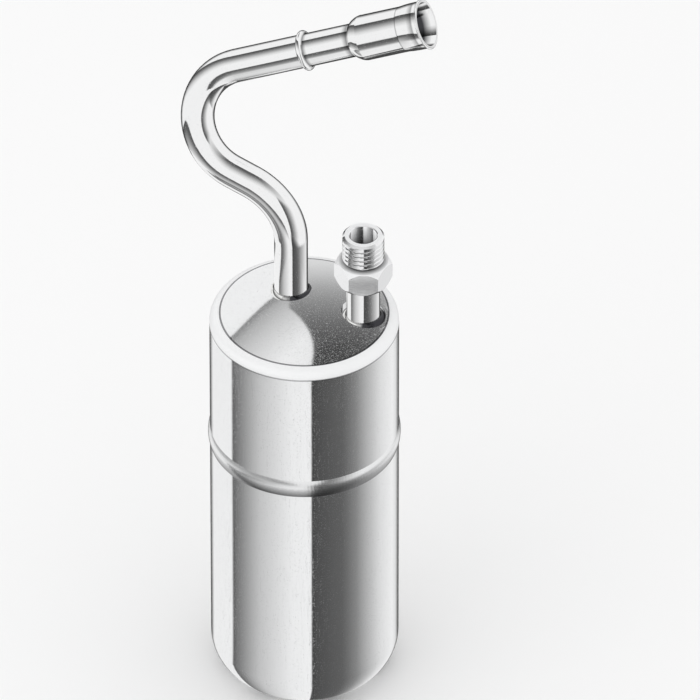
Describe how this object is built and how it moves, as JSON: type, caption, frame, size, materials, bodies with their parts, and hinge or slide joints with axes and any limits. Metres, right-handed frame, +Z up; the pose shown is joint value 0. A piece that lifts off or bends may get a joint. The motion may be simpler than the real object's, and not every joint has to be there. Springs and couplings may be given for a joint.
{
  "type": "air-conditioning filter drier",
  "caption": "Welded aluminium filter drier canister with a bent inlet pipe ending in a flared socket, and a hexagonal threaded outlet fitting on a short stub.",
  "frame": {"origin": "on the canister's axis, in the flat bottom that it stands on", "axes": "+Z up the canister's axis towards the ports, +X towards the side of the outlet fitting and the inlet socket"},
  "size_m": [0.1213, 0.0991, 0.3789],
  "materials": {
    "shell_aluminium": "satin, drawn lengthwise",
    "weld_bead": "smooth cast bead",
    "pipe_aluminium": "bright drawn tube",
    "braze_filler": "dull, slightly rough",
    "fitting_aluminium": "turned and milled",
    "inner_aluminium": "mill finish",
    "filter_plastic": "moulded nylon",
    "filter_screen": "fine woven wire",
    "desiccant_felt": "needled polyester felt",
    "tie_nylon": "natural nylon",
    "spacer_plastic": "moulded nylon"
  },
  "bodies": {
    "root": {"upper_shell": "shell_aluminium", "lower_shell": "shell_aluminium", "girth_weld": "weld_bead", "inlet_pipe": "pipe_aluminium", "inlet_braze": "braze_filler", "outlet_tube": "pipe_aluminium", "outlet_braze": "braze_filler", "outlet_fitting": "fitting_aluminium", "fitting_braze": "braze_filler", "deflector": "inner_aluminium", "oil_filter_cage": "filter_plastic", "oil_filter_screen": "filter_screen", "oil_filter_plug": "filter_plastic", "desiccant_bag_rear": "desiccant_felt", "desiccant_bag_front": "desiccant_felt", "bag_tie_lower": "tie_nylon", "bag_tie_upper": "tie_nylon", "tube_spacer": "spacer_plastic"}
  },
  "joints": []
}
